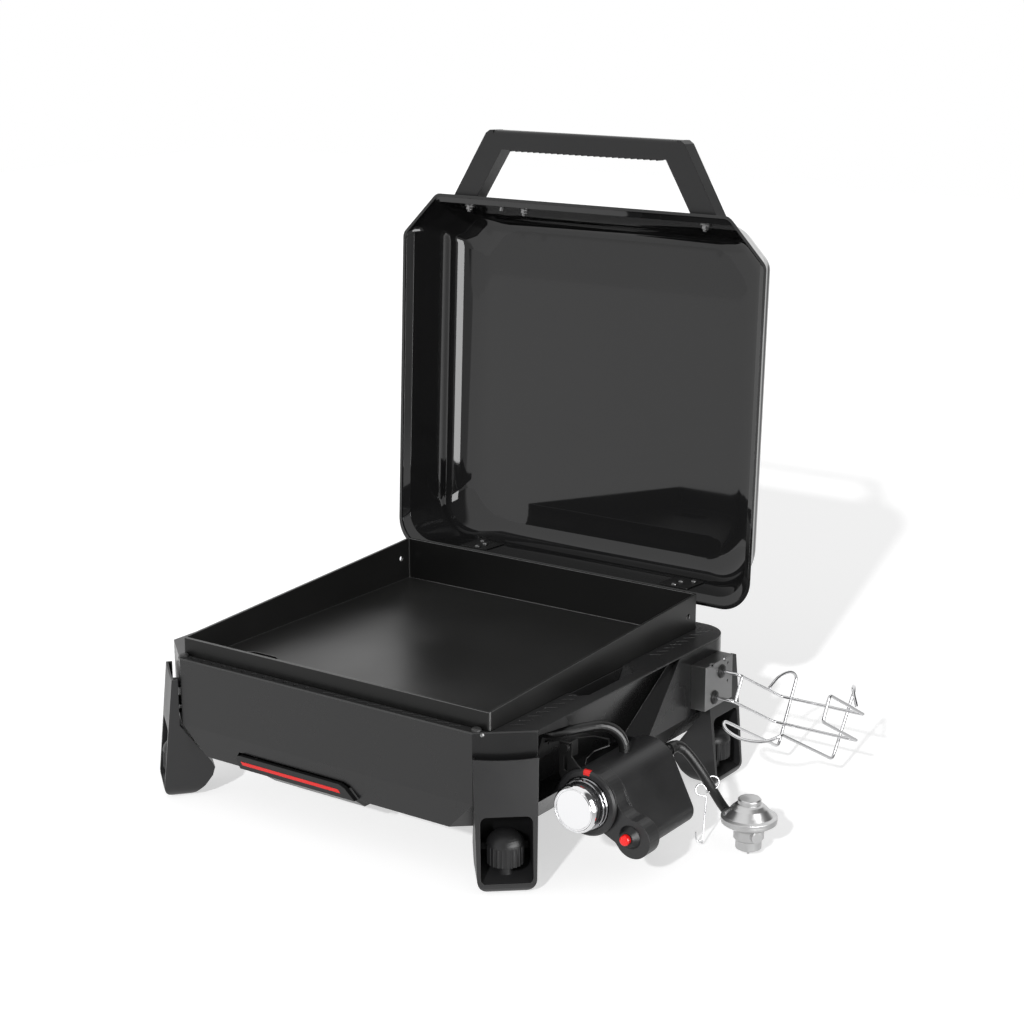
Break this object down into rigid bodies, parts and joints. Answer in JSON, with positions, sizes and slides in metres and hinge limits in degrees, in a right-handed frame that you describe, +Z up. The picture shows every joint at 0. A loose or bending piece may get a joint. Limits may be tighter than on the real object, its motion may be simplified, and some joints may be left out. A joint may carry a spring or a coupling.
{
  "type": "tabletop gas griddle",
  "caption": "Tabletop gas griddle with open hinged lid, steel cooking pan, levelling legs, slide-out grease tray, side control pod, hose with regulator, and wire bottle rack.",
  "frame": {"origin": "on the ground, under the middle of the object without its hose and regulator", "axes": "+Z up, front with the knob and the grease tray towards -Y, bottle rack and control pod on the +X side"},
  "size_m": [0.7269, 0.6134, 0.7474],
  "materials": {
    "black_enamel": "satin",
    "pan_steel": "dark rolled",
    "plain_steel": "satin",
    "tray_metal": "satin",
    "black_metal": "satin",
    "dark_plastic": "matte",
    "red_paint": "gloss",
    "red_button": "gloss",
    "grey_plastic": "matte",
    "wheel_plastic": "matte",
    "black_rubber": "matte",
    "bright_metal": "bright",
    "knob_grey": "matte",
    "brass": "satin",
    "grey_rubber": "matte",
    "cast_grey": "cast",
    "cap_grey": "satin"
  },
  "bodies": {
    "base": {"body_shell": "black_enamel", "deck_frame": "black_enamel", "griddle_plate": "pan_steel", "burner_tube": "plain_steel", "burner_bracket": "plain_steel", "grease_chute": "plain_steel", "tray_rails": "plain_steel", "gas_pipe": "black_metal", "valve_bracket": "black_metal", "bracket_screws": "bright_metal", "pod_housing": "grey_plastic", "pod_face": "grey_plastic", "pod_bezel": "grey_plastic", "pointer_mark": "red_paint", "valve_body": "brass", "igniter_body": "dark_plastic", "igniter_wire": "black_rubber", "leg_front_left": "grey_plastic", "leg_front_right": "grey_plastic", "leg_rear_left": "grey_plastic", "leg_rear_right": "grey_plastic", "leg_screws": "bright_metal", "hinge_base_leaves": "black_metal", "hinge_pins": "bright_metal", "lid_bumpers": "grey_rubber", "deck_rivets": "bright_metal", "rack_bracket": "bright_metal", "rack_grommets": "black_rubber", "rack_frame": "bright_metal", "rack_hoop": "bright_metal", "hose_fitting": "bright_metal", "gas_hose": "black_rubber", "hose_clip": "bright_metal", "regulator_body": "cast_grey", "regulator_dome": "cast_grey", "regulator_cap": "cap_grey"},
    "lid": {"lid_shell": "black_enamel", "lid_handle": "dark_plastic", "handle_nuts": "bright_metal", "lid_studs": "bright_metal", "hinge_lid_leaves": "black_metal", "hinge_plates": "black_metal", "hinge_rivets": "bright_metal"},
    "tray": {"grease_tray": "tray_metal", "tray_handle": "dark_plastic", "tray_stripe": "red_paint"},
    "dial": {"dial_ring": "bright_metal"},
    "knob": {"knob_cap": "bright_metal", "knob_grip": "knob_grey", "valve_stem": "brass"},
    "button": {"igniter_button": "red_button"},
    "wheel_front_left": {"wheel_front_left": "wheel_plastic"},
    "foot_front_left": {"foot_front_left": "black_rubber"},
    "wheel_front_right": {"wheel_front_right": "wheel_plastic"},
    "foot_front_right": {"foot_front_right": "black_rubber"},
    "wheel_rear_left": {"wheel_rear_left": "wheel_plastic"},
    "foot_rear_left": {"foot_rear_left": "black_rubber"},
    "wheel_rear_right": {"wheel_rear_right": "wheel_plastic"},
    "foot_rear_right": {"foot_rear_right": "black_rubber"}
  },
  "joints": [
    {"name": "lid_hinge", "type": "hinge", "parent": "base", "child": "lid", "pos_m": [-0.06928, 0.19246, 0.1722], "axis": [1, 0, 0], "range_deg": [0, 92.76]},
    {"name": "tray_slide", "type": "slide", "parent": "base", "child": "tray", "axis": [0, -1, 0], "range_m": [0, 0.21]},
    {"name": "knob_turn", "type": "hinge", "parent": "base", "child": "dial", "pos_m": [0.23722, -0.22694, 0.095], "axis": [0, -1, 0], "range_deg": [0, 180]},
    {"name": "knob_push", "type": "slide", "parent": "dial", "child": "knob", "axis": [0, 1, 0], "range_m": [0, 0.003], "stiffness_N_per_m": 1500, "springref_m": -0.002},
    {"name": "igniter_press", "type": "slide", "parent": "base", "child": "button", "axis": [0, 1, 0], "range_m": [0, 0.004], "stiffness_N_per_m": 3000, "springref_m": -0.001},
    {"name": "wheel_turn_front_left", "type": "hinge", "parent": "base", "child": "wheel_front_left", "pos_m": [-0.30679, -0.26901, 0.04], "axis": [0, 0, 1], "range_deg": [0, 1080]},
    {"name": "foot_screw_front_left", "type": "slide", "parent": "base", "child": "foot_front_left", "axis": [0, 0, -1], "range_m": [0, 0.009]},
    {"name": "wheel_turn_front_right", "type": "hinge", "parent": "base", "child": "wheel_front_right", "pos_m": [0.16822, -0.26901, 0.04], "axis": [0, 0, 1], "range_deg": [0, 1080]},
    {"name": "foot_screw_front_right", "type": "slide", "parent": "base", "child": "foot_front_right", "axis": [0, 0, -1], "range_m": [0, 0.009]},
    {"name": "wheel_turn_rear_left", "type": "hinge", "parent": "base", "child": "wheel_rear_left", "pos_m": [-0.33368, 0.12406, 0.04], "axis": [0, 0, 1], "range_deg": [0, 1080]},
    {"name": "foot_screw_rear_left", "type": "slide", "parent": "base", "child": "foot_rear_left", "axis": [0, 0, -1], "range_m": [0, 0.009]},
    {"name": "wheel_turn_rear_right", "type": "hinge", "parent": "base", "child": "wheel_rear_right", "pos_m": [0.19512, 0.12406, 0.04], "axis": [0, 0, 1], "range_deg": [0, 1080]},
    {"name": "foot_screw_rear_right", "type": "slide", "parent": "base", "child": "foot_rear_right", "axis": [0, 0, -1], "range_m": [0, 0.009]}
  ],
  "couplings": [
    {"joint": "foot_screw_front_left", "follows": "wheel_turn_front_left", "m_per_rad": 0.00047746},
    {"joint": "foot_screw_front_right", "follows": "wheel_turn_front_right", "m_per_rad": 0.00047746},
    {"joint": "foot_screw_rear_left", "follows": "wheel_turn_rear_left", "m_per_rad": 0.00047746},
    {"joint": "foot_screw_rear_right", "follows": "wheel_turn_rear_right", "m_per_rad": 0.00047746}
  ]
}
